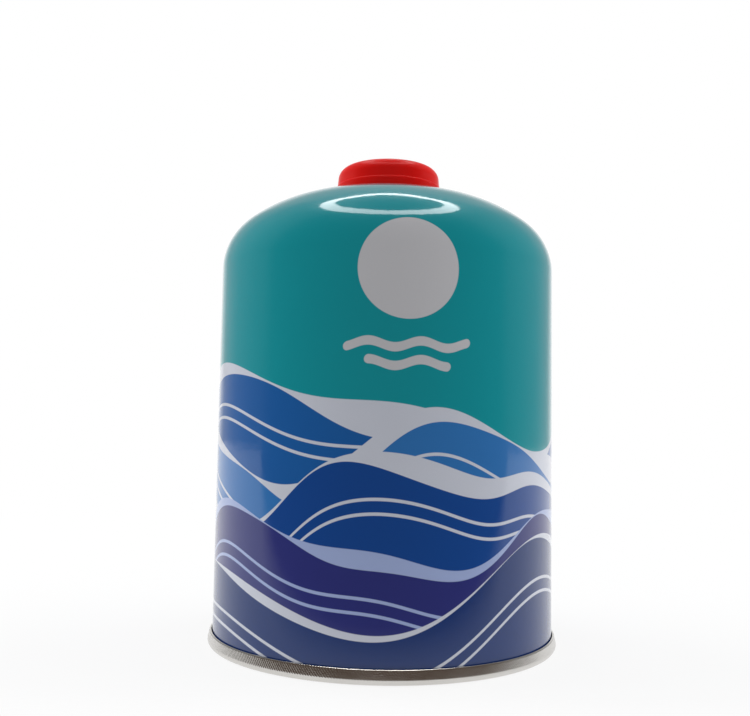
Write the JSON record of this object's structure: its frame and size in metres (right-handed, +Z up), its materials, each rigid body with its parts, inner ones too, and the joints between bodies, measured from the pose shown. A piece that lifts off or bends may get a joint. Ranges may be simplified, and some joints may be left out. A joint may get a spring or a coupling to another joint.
{
  "type": "screw valve fuel canister",
  "caption": "Tall round steel fuel canister with a domed top, a crimped screw valve under a red snap cap and a seamed concave base.",
  "frame": {"origin": "on the canister's axis, in the plane that the bottom seam stands on", "axes": "+Z up the axis, from the bottom seam towards the valve and cap; -Y is the side that the picture shows"},
  "size_m": [0.1128, 0.1128, 0.1574],
  "materials": {
    "printed_steel": "gloss",
    "tinplate": "satin",
    "brass": "satin",
    "spring_steel": "satin",
    "red_plastic": "gloss",
    "black_rubber": "matte",
    "white_plastic": "satin"
  },
  "bodies": {
    "can": {"can_body": "printed_steel", "bottom_end": "tinplate", "valve_cup": "tinplate", "cup_gasket": "black_rubber", "stem_gasket": "black_rubber", "valve_housing": "white_plastic", "valve_spring": "spring_steel"},
    "stem": {"valve_stem": "brass"},
    "cap": {"cap": "red_plastic"}
  },
  "joints": [
    {"name": "cap_pull", "type": "slide", "parent": "can", "child": "cap", "axis": [0, 0, 1], "range_m": [0, 0.02]},
    {"name": "stem_press", "type": "slide", "parent": "can", "child": "stem", "axis": [0, 0, -1], "range_m": [0, 0.002], "stiffness_N_per_m": 2500, "springref_m": -0.002, "deforming": ["valve_spring"]}
  ]
}
